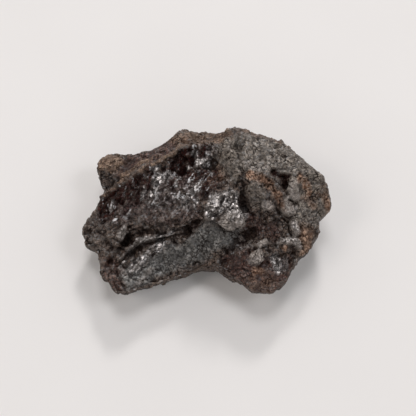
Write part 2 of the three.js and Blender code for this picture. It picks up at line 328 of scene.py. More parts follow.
PATCHES: dict[Zone, tuple[Patch, ...]] = {
    Zone.MAROON: (
        Patch(((-26.0, -0.5), (-18.0, 3.0), (-10.0, 5.0), (-1.0, 5.0)), 5.0),
        Patch(((-7.4, 11.0), (-4.0, 13.0), (-2.0, 13.5)), 3.0),
        Patch(((11.0, -4.8), (15.0, -7.2), (19.6, -7.4)), 1.2, 1.0, 0.3),
        # Painted shade: the dark wine colour is laid into the dark pit and the small pit to darken them.
        Patch(DARK_PIT, 0.8, 0.6),
        Patch(SMALL_PIT, 0.5, 0.4),
        Patch(((9.6, -10.8), (7.4, -13.4), (4.6, -17.6)), 1.5, 0.9, 0.5),
        Patch(((-23.0, -3.0), (-14.0, -4.0), (-4.0, -4.4)), 2.0, 1.6, 0.4),
    ),
    Zone.HACKLY: (
        Patch(((-15.5, 1.5), (-10.0, 2.5), (-4.0, 3.0)), 3.0, 1.5, 0.35),
        Patch(((-23.0, -2.4), (-14.0, -3.0), (-4.0, -3.4)), 2.4, 1.6, 0.2),
        Patch(((1.4, -4.6), (3.6, -1.6), (6.6, -1.2), (8.2, -3.4)), 2.3, 0.9),
        Patch(((-10.4, 7.6), (-13.2, 6.8), (-14.0, 5.4)), 1.2, 0.5),
        Patch(((-13.4, 4.6), (-15.0, 1.8)), 0.6, 0.4),
        Patch(((-14.6, 8.4), (-12.9, 9.3)), 0.6, 0.3),
        Patch(((-7.8, 7.4), (-9.2, 4.0)), 0.5, 0.4, 0.9),
        Patch(((-3.6, 2.6), (-5.0, 0.6), (-6.3, -1.4)), 0.9, 0.4),
        Patch(((-2.4, -0.2), (-3.6, -1.9)), 0.6, 0.4, 0.8),
        Patch(((-17.0, 4.2), (-18.2, 0.9)), 0.5, 0.4, 0.9),
        Patch(((-26.4, 1.6), (-27.4, -1.6)), 0.4, 0.4, 0.8),
        Patch(((-5.8, 9.4), (-3.4, 10.4)), 0.3, 0.3),
        Patch(((-2.5, 10.9), (-0.4, 10.4)), 1.1, 0.4),
        Patch(((0.8, 12.8), (1.8, 14.0)), 1.0, 0.8, 0.4),
        Patch(((-3.6, 13.2), (-1.8, 14.8)), 0.5, 0.4, 0.9),
        Patch(((-2.2, 9.0), (-2.2, 8.4)), 0.4, 0.3),
        Patch(((19.4, -15.0), (19.6, -17.6)), 1.2, 0.4),
        Patch(((21.4, -15.4), (21.2, -17.6)), 0.9, 0.5, 0.6),
        Patch(LOWER_SHELF_LUMP, 0.8, 0.5, 0.7),
        Patch(EDGE_SHELF_LUMP, 0.8, 0.5, 0.7),
        Patch(((20.6, -10.2), (22.4, -10.4)), 0.8, 0.5, 0.8),
        Patch(((-23.9, -8.4), (-22.9, -7.4)), 0.9, 0.5, 0.7),
        Patch(((-21.2, -12.2), (-18.4, -10.2), (-13.0, -9.5), (-9.4, -9.3)), 0.9, 0.6, 0.9),
        Patch(tuple((x + 0.2, y - 0.2) for x, y in FIRST_FACET), 1.1, 0.4),
        Patch(SECOND_FACET, 0.8, 0.4, 0.7),
        Patch(((-23.8, -16.8), (-22.4, -15.4)), 0.4, 0.3, 0.9),
    ),
    Zone.SATIN: (
        Patch(((-1.0, -11.5), (-12.0, -15.5), (-20.0, -20.0)), 3.0),
        Patch(((-1.0, -10.0), (7.5, -10.4)), 2.8),
    ),
    Zone.OLIVE: (
        Patch(((8.5, 12.0), (15.0, 12.0), (22.0, 10.0), (27.0, 6.0)), 5.5),
        Patch(((6.6, 6.6), (10.5, 6.6), (14.4, 7.4)), 2.4, 1.4, 0.9),
        Patch(((24.6, 2.7), (24.6, -2.6), (31.0, -2.4)), 3.2, 1.4),
        Patch(((12.6, 1.6), (14.4, -1.2)), 2.4, 1.0, 0.7),
    ),
    Zone.ASH: (
        Patch(((23.0, 2.6), (23.8, 1.0)), 1.4, 0.6),
        Patch(MIDDLE_SHELF_LUMP, 1.5, 0.6),
        Patch(LOWER_SHELF_LUMP, 1.2, 0.5),
        Patch(EDGE_SHELF_LUMP, 1.0, 0.5, 0.9),
        Patch(SHELF_GLINTS, 1.1, 0.5, 0.8),
        Patch(BLOCK_KNOB, 1.6, 0.5, 0.9),
        Patch(((14.2, -11.8), (16.4, -10.8)), 0.8, 0.5, 0.9),
        Patch(((5.4, -7.0), (8.2, -5.8)), 2.2, 0.6),
        Patch(((1.4, -4.6), (3.6, -1.6), (6.6, -1.2)), 2.3, 1.2, 0.5),
        Patch(LEFT_LUMP, 1.0, 0.5, 0.8),
        Patch(((15.8, -2.4), (18.2, -2.6)), 0.9, 0.5, 0.8),
        Patch(((10.6, 8.0), (13.4, 7.2), (16.0, 6.8)), 0.7, 0.8, 0.5),
        Patch(THIRD_FACET, 0.7, 0.5, 0.4),
        Patch(((-3.9, -8.8), (-1.2, -7.4)), 0.7, 0.5, 0.4),
    ),
    Zone.RUST: (
        Patch(RUST_BAND, 1.1, 0.5),
        Patch(((26.0, 4.2), (27.4, 3.2), (28.0, 2.2)), 1.2, 0.7),
        Patch(((27.4, 0.4), (29.6, -0.6)), 1.0, 0.8, 0.6),
        Patch(((33.4, 0.8), (33.8, -0.8)), 0.9, 0.6),
        Patch(((21.5, -12.3),), 0.7, 0.3),
        Patch(((26.8, -8.4), (27.8, -10.5), (27.4, -12.5)), 1.5, 1.0, 0.7),
        Patch(((13.0, -18.6), (14.8, -19.0)), 0.7, 0.5, 0.9),
        Patch(((1.5, 5.0), (3.6, 5.2)), 1.0, 1.0, 0.4),
        Patch(((-6.4, 19.2), (-5.6, 20.6)), 0.8, 0.9, 0.5),
        Patch(((-13.8, -20.5), (-7.3, -18.6), (2.3, -16.5)), 0.6, 0.8, 0.2),
    ),
    Zone.UMBER: (
        Patch(CREST, 0.9, 0.5),
        Patch(FIRST_STREAK, 0.35, 0.4),
        Patch(SECOND_STREAK, 0.35, 0.4),
        Patch(HOLLOW_RIM + BACK_RIM[::-1], 0.9, 0.6),
        Patch(((1.5, 6.4), (3.6, 7.0)), 1.6, 1.0, 0.8),
        Patch(((20.0, 14.6), (24.0, 11.6), (29.0, 7.0)), 2.6, 1.8, 0.6),
        Patch(((-29.0, 14.0), (-26.5, 14.0)), 3.0, 1.0),
        Patch(((-8.0, 20.4), (4.0, 21.5)), 2.8, 1.4, 0.6),
        Patch(((31.0, 4.0), (33.0, -2.0)), 2.0, 1.4, 0.7),
        Patch(((27.6, -7.0), (27.4, -12.6)), 2.0, 1.2, 0.8),
        Patch(((12.0, 21.0), (22.0, 15.6), (30.0, 8.4)), 2.0, 1.2, 0.5),
        Patch(((13.0, -22.0), (16.4, -21.4)), 1.8, 1.2, 0.4),
    ),
    Zone.PLUM: (
        Patch(((9.4, -17.6), (14.0, -20.5), (20.0, -19.0)), 4.6),
        Patch(((-20.0, -2.8), (-11.0, -3.8), (-4.0, -4.0)), 2.2, 1.4, 0.7),
        Patch(((-22.5, 13.0), (-17.4, 14.6), (-11.2, 18.4)), 3.4, 1.2),
        Patch(((-27.0, -16.0), (-24.0, -22.0)), 2.4, 1.2, 0.8),
        Patch(((11.4, -6.6), (18.4, -8.4)), 1.8, 1.2, 0.8),
    ),
}


# ---------------------------------------------------------------- grain of each kind of surface


@dataclass(frozen=True)
class Facets:
    """Fracture facets: tilted planes, one to a cell, that meet along sharp ridges."""

    cell: float
    tilt: float
    limit: float = 0.8
    steepness: float = 2.2
    step: float = 0.4
    scatter: float = 7.31

    def lift(self, point: Vector) -> float:
        """Height of the facets at a point.

        Args:
            point: a position in millimetres.

        Returns:
            The height in millimetres of the lowest nearby plane, held within the limit.
        """
        scaled = point / self.cell
        _, centres = noise.voronoi(scaled)
        heights = []
        for centre in centres[:3]:
            slope = noise.noise_vector(centre * self.scatter)
            heights.append(slope.dot(scaled - centre) * self.steepness + self.step * slope.x)
        return self.tilt * self.cell * min(max(min(heights), -self.limit), self.limit)


@dataclass(frozen=True)
class Crackle:
    """Fine cracks along the borders of irregular cells, open in some places and closed in others."""

    cell: float
    depth: float
    width: float
    warp: float = 0.35
    warp_cells: float = 0.6
    open_cells: float = 1.7
    open_contrast: float = 1.6
    open_share: float = 0.4

    def lift(self, point: Vector) -> float:
        """Depth of the cracks at a point.

        Args:
            point: a position in millimetres.

        Returns:
            Zero inside a cell and minus the depth on its border, where the crack is open.
        """
        warp = noise.noise_vector(point / (self.warp_cells * self.cell))
        reaches, _ = noise.voronoi(point / self.cell + self.warp * warp)
        border = (reaches[1] - reaches[0]) * self.cell
        openness = self.open_contrast * noise.noise(point / (self.open_cells * self.cell)) + self.open_share
        opening = min(max(openness, 0.0), 1.0)
        return -self.depth * opening * math.exp(-((border / self.width) ** 2))


@dataclass
class SurfaceGrain:
    """The relief that each kind of surface carries, worked out point by point in millimetres."""

    broad: Facets = Facets(6.5, 0.16)
    middle: Facets = Facets(2.8, 0.34)
    fine: Facets = Facets(1.5, 0.34)
    crumb: Facets = Facets(0.8, 0.22)
    cracks: Crackle = Crackle(3.6, 0.45, 0.4)
    scale_lean: float = 58.0
    scale_length: float = 3.4
    scale_breadth: float = 0.9
    scale_height: float = 2.0
    swerve: float = 0.9
    swerve_size: float = 1.9
    fold_size: float = 1.5
    fold_warp: float = 0.4
    fold_warp_size: float = 0.9
    ridge_top: float = 0.5
    ridge_drop: float = 1.6
    wave_size: float = 3.1
    wobble_size: float = 2.2

    def heights(self, points: np.ndarray) -> dict[str, np.ndarray]:
        """Evaluates each layer of relief at every point.

        Args:
            points: positions in millimetres.

        Returns:
            A height array for each named layer.
        """
        cellular = {
            "broad": self.broad,
            "middle": self.middle,
            "fine": self.fine,
            "crumb": self.crumb,
            "cracks": self.cracks,
        }
        names = (*cellular, "scale", "fold", "wave", "wobble")
        layers = {name: np.empty(len(points)) for name in names}
        lean = math.radians(self.scale_lean)
        along = Vector((math.cos(lean), math.sin(lean), 0.0))
        across = Vector((-math.sin(lean), math.cos(lean), 0.0))
        for i, xyz in enumerate(points):
            p = Vector(xyz)
            for name, relief in cellular.items():
                layers[name][i] = relief.lift(p)
            swerve = self.swerve * noise.noise(p / self.swerve_size)
            length = p.dot(along) / self.scale_length
            breadth = p.dot(across) / self.scale_breadth + swerve
            scale = Vector((length, breadth, p.z / self.scale_height))
            layers["scale"][i] = self.ridge_top - self.ridge_drop * abs(noise.noise(scale))
            fold = p / self.fold_size + self.fold_warp * noise.noise_vector(p / self.fold_warp_size)
            layers["fold"][i] = self.ridge_top - self.ridge_drop * abs(noise.noise(fold))
            layers["wave"][i] = noise.noise(p / self.wave_size)
            layers["wobble"][i] = noise.fractal(p / self.wobble_size, 1.0, 2.0, 3)
        return layers


# ---------------------------------------------------------------- materials

# Settings that many nodes share. A Mix node's sockets go by number: 0 is its share, 2 and 3 are numbers,
# 4 and 5 vectors, 6 and 7 colours, and its outputs 0, 1 and 2 are a number, a vector and a colour.
NUMBER_MIX = {"data_type": "FLOAT"}
VECTOR_MIX = {"data_type": "VECTOR"}
COLOUR_MIX = {"data_type": "RGBA"}
MULTIPLY = {"operation": "MULTIPLY"}
SMOOTH_RISE = {"interpolation_type": "SMOOTHSTEP"}


def add_node(
    tree: bpy.types.NodeTree,
    kind: str,
    settings: dict[str, object] | None = None,
    inputs: dict[str | int, object] | None = None,
) -> bpy.types.Node:
    """Adds a node, sets it up and links it.

    Args:
        tree: the node tree to add to.
        kind: the node's type name, without the "ShaderNode" in front.
        settings: attributes of the node to set.
        inputs: for each input, a value or the output socket to link to it.

    Returns:
        The new node.
    """
    node = tree.nodes.new("ShaderNode" + kind)
    for name, value in (settings or {}).items():
        setattr(node, name, value)
    for name, value in (inputs or {}).items():
        if isinstance(value, Socket):
            tree.links.new(value, node.inputs[name])
        else:
            node.inputs[name].default_value = value
    return node


def empty_tree(owner: bpy.types.Material | bpy.types.World) -> bpy.types.NodeTree:
    """Turns on the owner's node tree and gives it back with nothing in it."""
    owner.use_nodes = True
    owner.node_tree.nodes.clear()
    return owner.node_tree


@dataclass(frozen=True)
class Skin:
    """How one kind of surface looks: its two tones, its dull and glossy spots, and its crystals.

    The lean is how far the crystals' faces turn away from the surface, as a share of its normal. In
    some spots they line up with the stone's one cleavage plane instead and flash together: the cleavage
    says how far, and the rarity, from 0 to 1, how few such spots there are. The sheen is how strongly
    the rest of the surface mirrors. The skin with no zone is the stone's own, under all the others.
    """

    zone: Zone | None
    dark: str
    light: str
    dull: float
    gloss: float
    lean: float
    cleavage: float
    rarity: float
    sheen: float
    metal: float = 0.0


TRAITS = ("lean", "cleavage", "rarity", "sheen", "metal")
SKINS: tuple[Skin, ...] = (
    Skin(None, "291D17", "7C695D", 0.50, 0.24, 0.50, 0.7, 0.54, 0.30),
    Skin(Zone.PLUM, "2A1611", "6A4A40", 0.50, 0.26, 0.40, 0.5, 0.56, 0.25),
    Skin(Zone.UMBER, "5C4435", "AC907A", 0.65, 0.40, 0.25, 0.3, 0.62, 0.25),
    Skin(Zone.OLIVE, "423A33", "A2968A", 0.50, 0.28, 0.30, 0.6, 0.55, 0.35),
    Skin(Zone.SATIN, "363533", "928F8B", 0.42, 0.22, 0.40, 0.6, 0.54, 0.40),
    Skin(Zone.MAROON, "1B0806", "421B15", 0.24, 0.12, 0.40, 0.9, 0.58, 0.12),
    Skin(Zone.ASH, "7E746D", "CCC0B7", 0.45, 0.25, 0.30, 0.6, 0.53, 0.50),
    Skin(Zone.HACKLY, "322C2A", "A49C98", 0.28, 0.16, 0.45, 0.9, 0.45, 0.50, 0.5),
)


@dataclass(frozen=True)
class Pattern:
    """A noise pattern of a given size in millimetres, made a share that rises between two marks."""

    size: float
    detail: float
    low: float
    high: float


PATTERNS: dict[str, Pattern] = {
    "mottle": Pattern(0.7, 4.0, 0.43, 0.57),
    "gloss": Pattern(0.9, 3.0, 0.38, 0.60),
    "grit": Pattern(0.4, 4.0, 0.30, 0.66),
    "rust": Pattern(1.6, 4.0, 0.34, 0.60),
    "stain": Pattern(3.0, 3.0, 0.40, 0.56),
    "speck": Pattern(0.5, 2.0, 0.61, 0.67),
}


@dataclass
class Layers:
    """The surface so far, as each layer goes over the one before: its colour, roughness and traits."""

    colour: Socket
    rough: Socket
    traits: dict[str, Socket | float]


@dataclass(frozen=True)
class StoneFinish:
    """Iron-rich stone, broken and weathered: dark, with gloss where iron oxide has sealed the break.

    The sealed break gives the eye a near-black, wine-tinted depth with hard small glints; weathered faces
    are duller and browner, and rust is matt. Sizes are in millimetres and are those of the real grain,
    except that the finest grit is drawn a little coarse so that it shows.
    """

    name: str = "weathered_iron_stone"
    pattern_roughness: float = 0.6
    stain_floor: float = 0.4
    # Colour of the dark pocks, and of the painted shade in fine cracks and crevices.
    crevice: str = "150B08"
    speck: str = "8A7E72"
    pock_share: float = 0.6
    # Share by which edges and bumps are drawn lighter.
    worn_share: float = 0.12
    speck_share: float = 0.35
    rust_dark: str = "644838"
    rust_light: str = "BC9A84"
    rust_roughness: float = 0.85
    thinnest_rust: float = 0.35
    thickest_rust: float = 0.9
    crack_cell: float = 2.2
    crack_swerve: float = 0.6
    crack_width: float = 0.09
    # How dark the painted shade in the fine cracks gets.
    crack_dark: float = 0.9
    grit_relief: float = 0.20
    olive_relief: float = 0.5
    crystal_size: float = 0.5
    plate_size: float = 0.8
    sliver_length: float = 2.5
    sliver_lean: float = 60.0
    flash_size: float = 1.0
    flash_detail: float = 2.5
    flash_roughness: float = 0.65
    flash_edge: float = 0.04
    flash_spread: float = 0.18
    flash_sheen: float = 1.0
    ior: float = 1.55
    cleavage_plane: tuple[float, float, float] = (0.0, 0.03, 1.0)

    def make(self) -> bpy.types.Material:
        """Builds the material.

        Returns:
            The new material.
        """
        material = bpy.data.materials.new(self.name)
        add = partial(add_node, empty_tree(material))
        place = add("TexCoord").outputs["Object"]
        covers = {}
        for name in [zone.value for zone in Zone] + ["cavity", "edge"]:
            covers[name] = add("Attribute", {"attribute_name": name}).outputs["Fac"]
        noises, shares = self._patterns(add, place)
        swirl = add(
            "VectorMath",
            {"operation": "SCALE"},
            {0: noises["mottle"]["Color"], "Scale": self.crack_swerve * self.crack_cell * MM},
        )
        bent = add("VectorMath", {"operation": "ADD"}, {0: place, 1: swirl.outputs[0]}).outputs[0]
        layers = self._skins(add, covers, shares)
        self._weather(add, covers, shares, bent, layers)
        mirror, normal = self._crystals(add, covers, bent, noises["grit"]["Fac"], layers.traits)
        shader = add(
            "BsdfPrincipled",
            None,
            {
                "Base Color": layers.colour,
                "Roughness": layers.rough,
                "Metallic": layers.traits["metal"],
                "Specular IOR Level": mirror,
                "IOR": self.ior,
                "Normal": normal,
            },
        )
        add("OutputMaterial", None, {"Surface": shader.outputs["BSDF"]})
        return material

    def _patterns(self, add: Add, place: Socket) -> tuple[dict, dict]:
        """Adds the patterns that pick between two tones, or open a crack.

        Args:
            add: adds a node to the material's tree.
            place: the position on the stone.

        Returns:
            Each pattern's plain noise outputs by name, and its share from 0 to 1 by name.
        """
        noises, shares = {}, {}
        for name, pattern in PATTERNS.items():
            inputs = {"Vector": place, "Scale": 1.0 / (pattern.size * MM), "Detail": pattern.detail}
            inputs["Roughness"] = self.pattern_roughness
            noises[name] = add("TexNoise", None, inputs).outputs
            shares[name] = add(
                "MapRange",
                SMOOTH_RISE,
                {"Value": noises[name]["Fac"], "From Min": pattern.low, "From Max": pattern.high},
            ).outputs["Result"]
        # The stain deepens the tone over a few millimetres, so that it is not even.
        depth = add("MapRange", None, {"Value": shares["stain"], "To Min": self.stain_floor})
        shares["mottle"] = add(
            "Math", MULTIPLY, {0: shares["mottle"], 1: depth.outputs["Result"]}
        ).outputs[0]
        return noises, shares

    def _skins(self, add: Add, covers: dict, shares: dict) -> Layers:
        """Lays each skin over the ones before it, in colour, roughness and traits.

        Args:
            add: adds a node to the material's tree.
            covers: how much of each zone a point has, by the zone's name.
            shares: the patterns' shares.

        Returns:
            The layers so far.
        """
        for skin in SKINS:
            tones = {0: shares["mottle"], 6: linear(skin.dark), 7: linear(skin.light)}
            tone = add("Mix", COLOUR_MIX, tones).outputs[2]
            shines = {0: shares["gloss"], 2: skin.dull, 3: skin.gloss}
            shine = add("Mix", NUMBER_MIX, shines).outputs[0]
            if skin.zone is None:
                layers = Layers(tone, shine, {trait: getattr(skin, trait) for trait in TRAITS})
                continue
            cover = covers[skin.zone.value]
            layers.colour = add("Mix", COLOUR_MIX, {0: cover, 6: layers.colour, 7: tone}).outputs[2]
            layers.rough = add("Mix", NUMBER_MIX, {0: cover, 2: layers.rough, 3: shine}).outputs[0]
            for trait in TRAITS:
                blend = {0: cover, 2: layers.traits[trait], 3: getattr(skin, trait)}
                layers.traits[trait] = add("Mix", NUMBER_MIX, blend).outputs[0]
        return layers

    def _weather(self, add: Add, covers: dict, shares: dict, bent: Socket, layers: Layers) -> None:
        """Lays pocks, ragged flakes of rust, lighter edges, specks, and painted shade in fine cracks and
        crevices on top.

        Args:
            add: adds a node to the material's tree.
            covers: how much of each zone, crevice and edge a point has.
            shares: the patterns' shares.
            bent: the position on the stone, made to wander.
            layers: the surface so far, which is added to.
        """
        flakes = add(
            "MapRange",
            None,
            {"Value": shares["rust"], "To Min": self.thinnest_rust, "To Max": self.thickest_rust},
        )
        border = add(
            "TexVoronoi",
            {"feature": "DISTANCE_TO_EDGE"},
            {"Vector": bent, "Scale": 1.0 / (self.crack_cell * MM)},
        )
        # Painted shade: the fine cracks are dark lines along cell borders, drawn in colour only, where a
        # crack would lie in shadow.
        crack = add(
            "MapRange",
            SMOOTH_RISE,
            {
                "Value": border.outputs["Distance"],
                "From Min": self.crack_width,
                "From Max": 0.0,
                "To Max": self.crack_dark,
            },
        )
        rusty, cracked, pocked, worn, specked = (
            add("Math", MULTIPLY, {0: cover, 1: share}).outputs[0]
            for cover, share in (
                (covers[Zone.RUST.value], flakes.outputs["Result"]),
                (crack.outputs["Result"], shares["stain"]),
                (shares["grit"], self.pock_share),
                (covers["edge"], self.worn_share),
                (shares["speck"], self.speck_share),
            )
        )
        tones = {0: shares["mottle"], 6: linear(self.rust_dark), 7: linear(self.rust_light)}
        rust_tone = add("Mix", COLOUR_MIX, tones).outputs[2]
        # In order: dark pocks, rust, lighter edges, light specks, then painted shade in fine cracks and in
        # crevices.
        for cover, tone in (
            (pocked, linear(self.crevice)),
            (rusty, rust_tone),
            (worn, linear(self.speck)),
            (specked, linear(self.speck)),
            (cracked, linear(self.crevice)),
            (covers["cavity"], linear(self.crevice)),
        ):
            layers.colour = add("Mix", COLOUR_MIX, {0: cover, 6: layers.colour, 7: tone}).outputs[2]
        # Rust is matt; the painted shade in fine cracks and crevices also turns off their reflection, as if
        # no light got in, and makes them rough.
        for cover in (rusty, cracked, covers["cavity"]):
            layers.rough = add(
                "Mix", NUMBER_MIX, {0: cover, 2: layers.rough, 3: self.rust_roughness}
            ).outputs[0]
            for trait in ("metal", "sheen", "cleavage"):
                layers.traits[trait] = add(
                    "Mix", NUMBER_MIX, {0: cover, 2: layers.traits[trait], 3: 0.0}
                ).outputs[0]

    def _crystals(
        self, add: Add, covers: dict, bent: Socket, grit: Socket, traits: dict
    ) -> tuple[Socket, Socket]:
        """Adds grit, then crystal faces that each lean their own way and in some spots flash together.

        Args:
            add: adds a node to the material's tree.
            covers: how much of each zone a point has.
            bent: the position on the stone, made to wander.
            grit: the height of the grit.
            traits: the crystals' lean, cleavage, rarity and sheen.

        Returns:
            How strongly each point mirrors, and the way it faces.
        """
        calm = add(
            "MapRange",
            None,
            {"Value": covers[Zone.OLIVE.value], "To Min": 1.0, "To Max": self.olive_relief},
        )
        bump = add(
            "Bump",
            None,
            {"Strength": calm.outputs["Result"], "Distance": self.grit_relief * MM, "Height": grit},
        )
        # On the sealed break the crystals are slivers, drawn out along one direction.
        slivers = add(
            "Mapping",
            {"vector_type": "TEXTURE"},
            {
                "Vector": bent,
                "Rotation": (0.0, 0.0, math.radians(self.sliver_lean)),
                "Scale": (self.sliver_length / self.crystal_size, 1.0, 1.0),
            },
        )
        sealed = add(
            "Math", {"operation": "MAXIMUM"}, {0: covers[Zone.MAROON.value], 1: covers[Zone.HACKLY.value]}
        )
        grain_place = add(
            "Mix", VECTOR_MIX, {0: sealed.outputs[0], 4: bent, 5: slivers.outputs["Vector"]}
        ).outputs[1]
        crystals, plates = (
            add(
                "TexVoronoi", {"feature": "F1"}, {"Vector": grain_place, "Scale": 1.0 / (size * MM)}
            ).outputs["Color"]
            for size in (self.crystal_size, self.plate_size)
        )
        face = add("Mix", COLOUR_MIX, {0: covers[Zone.HACKLY.value], 6: crystals, 7: plates}).outputs[2]

        # A flash starts where its own noise passes the rarity.
        flash_field = add(
            "TexNoise",
            None,
            {
                "Vector": grain_place,
                "Scale": 1.0 / (self.flash_size * MM),
                "Detail": self.flash_detail,
                "Roughness": self.flash_roughness,
            },
        )
        full_flash = add("Math", {"operation": "ADD"}, {0: traits["rarity"], 1: self.flash_edge})
        flash = add(
            "MapRange",
            SMOOTH_RISE,
            {
                "Value": flash_field.outputs["Fac"],
                "From Min": traits["rarity"],
                "From Max": full_flash.outputs[0],
            },
        ).outputs["Result"]
        alignment = add("Math", MULTIPLY, {0: flash, 1: traits["cleavage"]}).outputs[0]
        spread, mirror = (
            add("Mix", NUMBER_MIX, {0: alignment, 2: usual, 3: flashing}).outputs[0]
            for usual, flashing in (
                (traits["lean"], self.flash_spread),
                (traits["sheen"], self.flash_sheen),
            )
        )
        turned = add("VectorMath", {"operation": "SUBTRACT"}, {0: face, 1: (0.5, 0.5, 0.5)})
        leaned = add("VectorMath", {"operation": "SCALE"}, {0: turned.outputs[0], "Scale": spread})
        lined_up = add(
            "Mix", VECTOR_MIX, {0: alignment, 4: bump.outputs["Normal"], 5: self.cleavage_plane}
        )
        summed = add("VectorMath", {"operation": "ADD"}, {0: lined_up.outputs[1], 1: leaned.outputs[0]})
        normal = add("VectorMath", {"operation": "NORMALIZE"}, {0: summed.outputs[0]})
        return mirror, normal.outputs[0]


@dataclass(frozen=True)
class TableFinish:
    """Matt white laminate, slightly warm, with a faint unevenness."""

    name: str = "white_laminate"
    light: str = "E9E6E4"
    dark: str = "E3E0DE"
    roughness: float = 0.9
    ior: float = 1.3
    cloud_size: float = 55.556
    cloud_detail: float = 2.0

    def make(self) -> bpy.types.Material:
        """Builds the material.

        Returns:
            The new material.
        """
        material = bpy.data.materials.new(self.name)
        add = partial(add_node, empty_tree(material))
        place = add("TexCoord").outputs["Object"]
        cloud = add(
            "TexNoise",
            None,
            {"Vector": place, "Scale": 1.0 / (self.cloud_size * MM), "Detail": self.cloud_detail},
        )
        tones = {0: cloud.outputs["Fac"], 6: linear(self.dark), 7: linear(self.light)}
        colour = add("Mix", COLOUR_MIX, tones)
        shader = add(
            "BsdfPrincipled",
            None,
            {"Base Color": colour.outputs[2], "Roughness": self.roughness, "IOR": self.ior},
        )
        add("OutputMaterial", None, {"Surface": shader.outputs["BSDF"]})
        return material


# ---------------------------------------------------------------- the stone


def vertex_vectors(mesh: bpy.types.Mesh, name: str) -> np.ndarray:
    """Reads one vector per vertex, such as co or normal, as rows of three."""
    values = np.empty(len(mesh.vertices) * 3)
    mesh.vertices.foreach_get(name, values)
    return values.reshape(-1, 3)


@dataclass(frozen=True)
class Quiet:
    """How strongly each layer of grain shows, and what share of it each kind of surface quiets."""

    satin: float = 0.6
    weathered: float = 0.5
    maroon: float = 0.6
    most: float = 0.8
    weathered_broad: float = 0.3
    wave: float = 0.3
    fine: float = 0.8
    fine_calm: float = 0.7
    crumb: float = 0.45
    satin_crumb: float = 0.2
    weathered_crumb: float = 0.4
    rusty_crumb: float = 0.6
    satin_cracks: float = 0.4
    weathered_cracks: float = 0.5
    scales: float = 0.8
    folds: float = 0.5
    steep_side: float = 0.5

    def blend(
        self, layers: dict[str, np.ndarray], zones: dict[Zone, np.ndarray], facing: np.ndarray
    ) -> np.ndarray:
        """Adds up the layers of grain as each kind of surface carries them.

        Args:
            layers: a height array for each layer.
            zones: how much of each zone each point has.
            facing: how far each point faces up, from -1 to 1.

        Returns:
            The lift at each point in millimetres.
        """
        satin, maroon, hackly = zones[Zone.SATIN], zones[Zone.MAROON], zones[Zone.HACKLY]
        weathered = np.maximum.reduce([zones[z] for z in (Zone.OLIVE, Zone.UMBER, Zone.PLUM, Zone.ASH)])
        calm = self.satin * satin + self.weathered * weathered + self.maroon * maroon
        calm = np.clip(calm, 0.0, self.most)
        lift = (1 - self.weathered_broad * weathered) * layers["broad"] + self.wave * layers["wave"]
        lift += (1 - calm) * layers["middle"] + (self.fine - self.fine_calm * calm) * layers["fine"]
        crumb = (self.crumb - self.satin_crumb * satin) * (1 - self.weathered_crumb * weathered)
        lift += crumb * (1 - self.rusty_crumb * zones[Zone.RUST]) * layers["crumb"]
        cracks = (1 - self.satin_cracks * satin) * (1 - self.weathered_cracks * weathered)
        lift += cracks * layers["cracks"]
        lift += self.scales * maroon * layers["scale"] + self.folds * hackly * layers["fold"]
        return lift * (self.steep_side + (1 - self.steep_side) * smooth_step(0.1, 0.6, facing))


